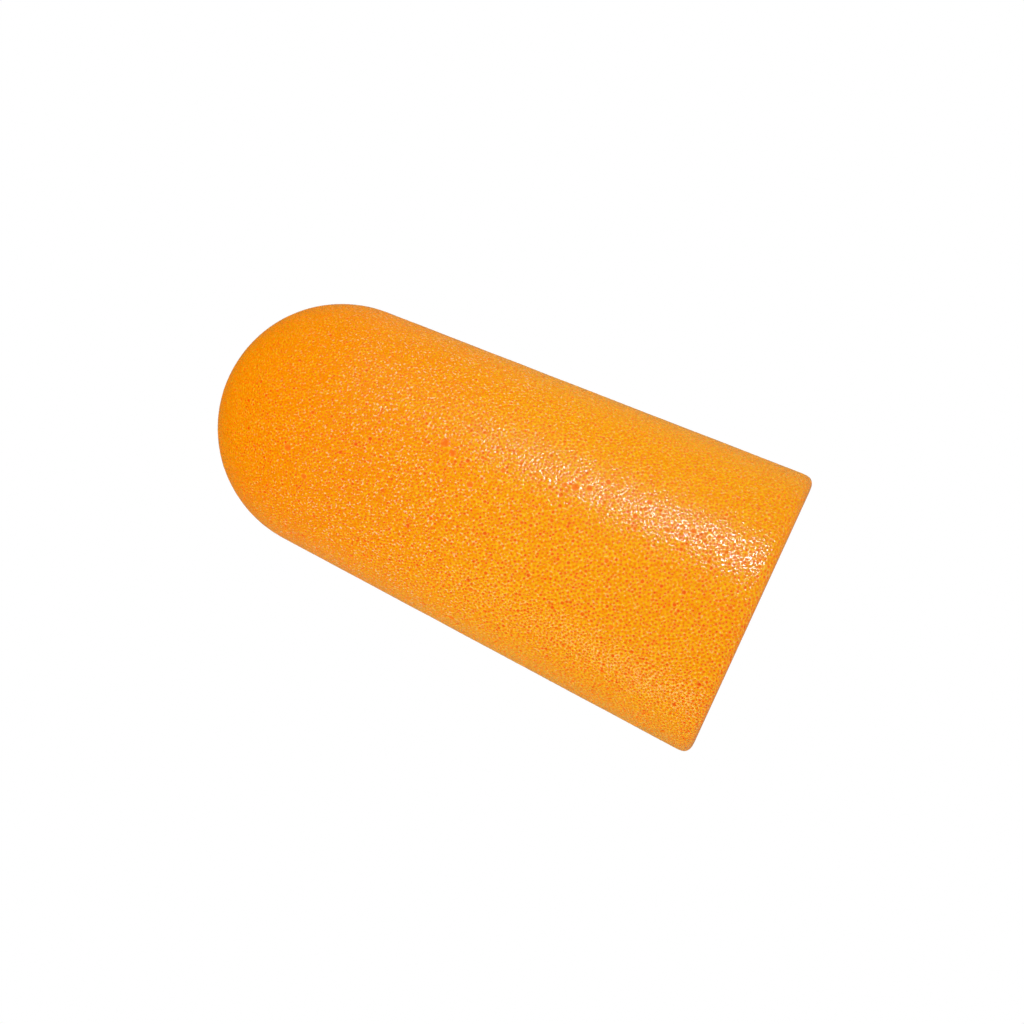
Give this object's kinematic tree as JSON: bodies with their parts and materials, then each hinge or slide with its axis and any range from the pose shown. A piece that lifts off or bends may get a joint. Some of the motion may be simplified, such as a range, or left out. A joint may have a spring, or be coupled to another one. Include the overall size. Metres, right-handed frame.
{
  "type": "foam ear plug",
  "caption": "Bullet-shaped roll-down foam ear plug with a round nose and a flat base, rolled thin and put in the ear canal, where it swells to block noise.",
  "frame": {"origin": "middle of the flat base", "axes": "+Z along the plug's axis from the base to the tip of the round nose; the plug is round about Z, so +X and +Y are any two directions across it"},
  "size_m": [0.0126, 0.0126, 0.024],
  "materials": {
    "foam": "satin orange slow-recovery foam with a closed skin over fine round cells"
  },
  "bodies": {
    "root": {"foam_plug": "foam"}
  },
  "joints": []
}
